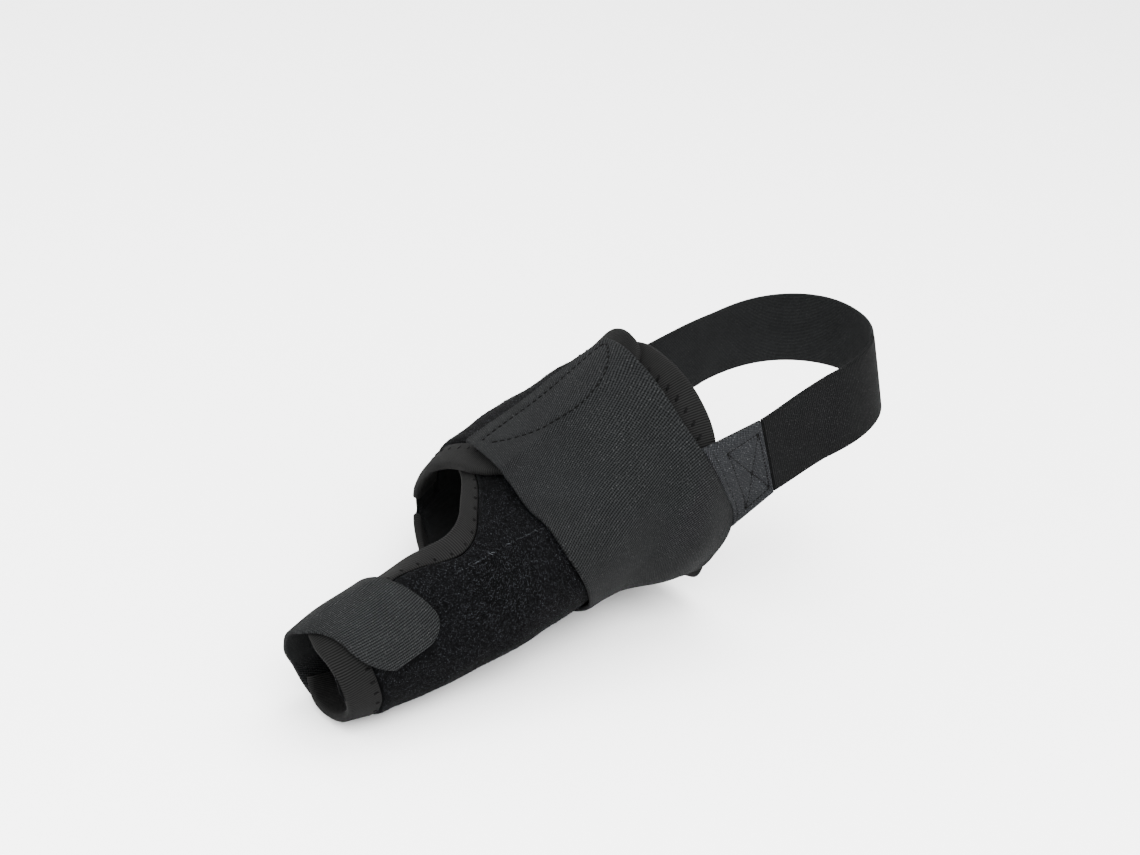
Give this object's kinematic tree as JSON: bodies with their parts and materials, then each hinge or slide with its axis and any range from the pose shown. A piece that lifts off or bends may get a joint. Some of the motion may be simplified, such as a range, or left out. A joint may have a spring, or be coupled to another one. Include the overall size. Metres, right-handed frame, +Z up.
{
  "type": "bunion corrector",
  "caption": "Textile brace for a right foot: a padded wrap with a big-toe sleeve, an arch strap over the instep and an elastic heel strap.",
  "frame": {"origin": "on the sole plane under the middle of the arch, inside the brace, where the foot stands", "axes": "+X along the foot towards the toes, +Y towards the big-toe side, +Z up"},
  "size_m": [0.2271, 0.1033, 0.0911],
  "materials": {
    "loop_fabric": "matt loop pile on foam",
    "binding_tape": "matt ribbed knit tape",
    "strap_knit": "matt ribbed elastic knit",
    "hook_tape": "satin hook tape",
    "tab_cloth": "matt mottled knit",
    "heel_elastic": "matt elastic webbing",
    "heel_smooth": "smooth stretch cloth"
  },
  "bodies": {
    "root": {"body_pad": "loop_fabric", "toe_binding": "binding_tape", "opening_binding": "binding_tape", "sole_binding": "binding_tape", "flap_binding": "binding_tape", "rear_binding": "binding_tape", "toe_strap": "strap_knit", "arch_strap": "strap_knit", "arch_hook_patch": "hook_tape", "heel_tab": "tab_cloth", "heel_strap": "heel_elastic", "heel_strap_end": "heel_smooth"}
  },
  "joints": []
}
